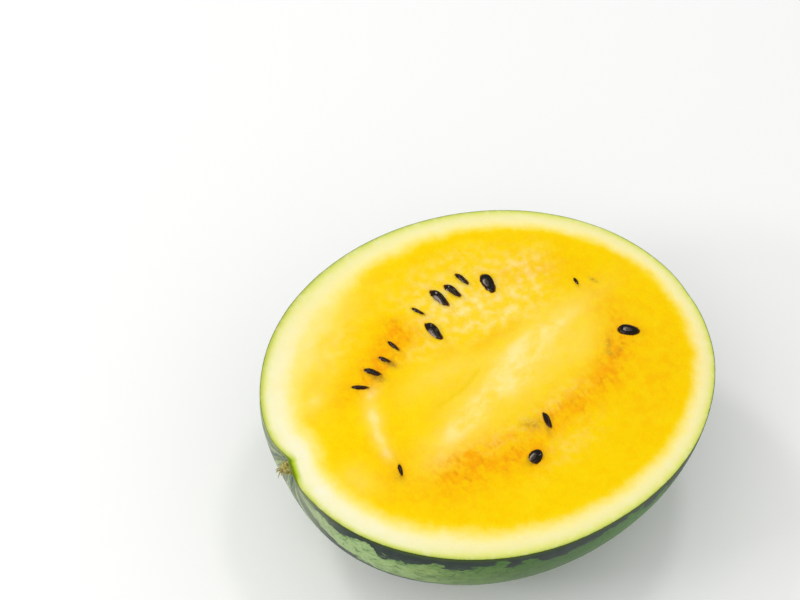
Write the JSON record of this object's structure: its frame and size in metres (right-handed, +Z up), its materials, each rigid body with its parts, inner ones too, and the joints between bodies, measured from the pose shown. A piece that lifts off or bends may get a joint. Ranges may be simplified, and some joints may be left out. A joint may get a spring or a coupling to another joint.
{
  "type": "watermelon half",
  "caption": "Half of a small oval yellow-fleshed watermelon, cut lengthwise and lying cut face up, with its seeds and dried stem.",
  "frame": {"origin": "middle of the small flat spot that the half rests on", "axes": "+X from the stem end to the blossom end, +Z up and square to the cut face"},
  "size_m": [0.212, 0.178, 0.0899],
  "materials": {
    "melon": "moist yellow flesh inside a cream rind and a waxy, striped green skin",
    "dried_stem": "dry, fibrous, tan",
    "seed_coat": "hard, glossy, near-black brown"
  },
  "bodies": {
    "root": {"melon_half": "melon", "stem": "dried_stem", "seed_01": "seed_coat", "seed_02": "seed_coat", "seed_03": "seed_coat", "seed_04": "seed_coat", "seed_05": "seed_coat", "seed_06": "seed_coat", "seed_07": "seed_coat", "seed_08": "seed_coat", "seed_09": "seed_coat", "seed_10": "seed_coat", "seed_11": "seed_coat", "seed_12": "seed_coat", "seed_13": "seed_coat", "seed_14": "seed_coat", "seed_15": "seed_coat"}
  },
  "joints": []
}
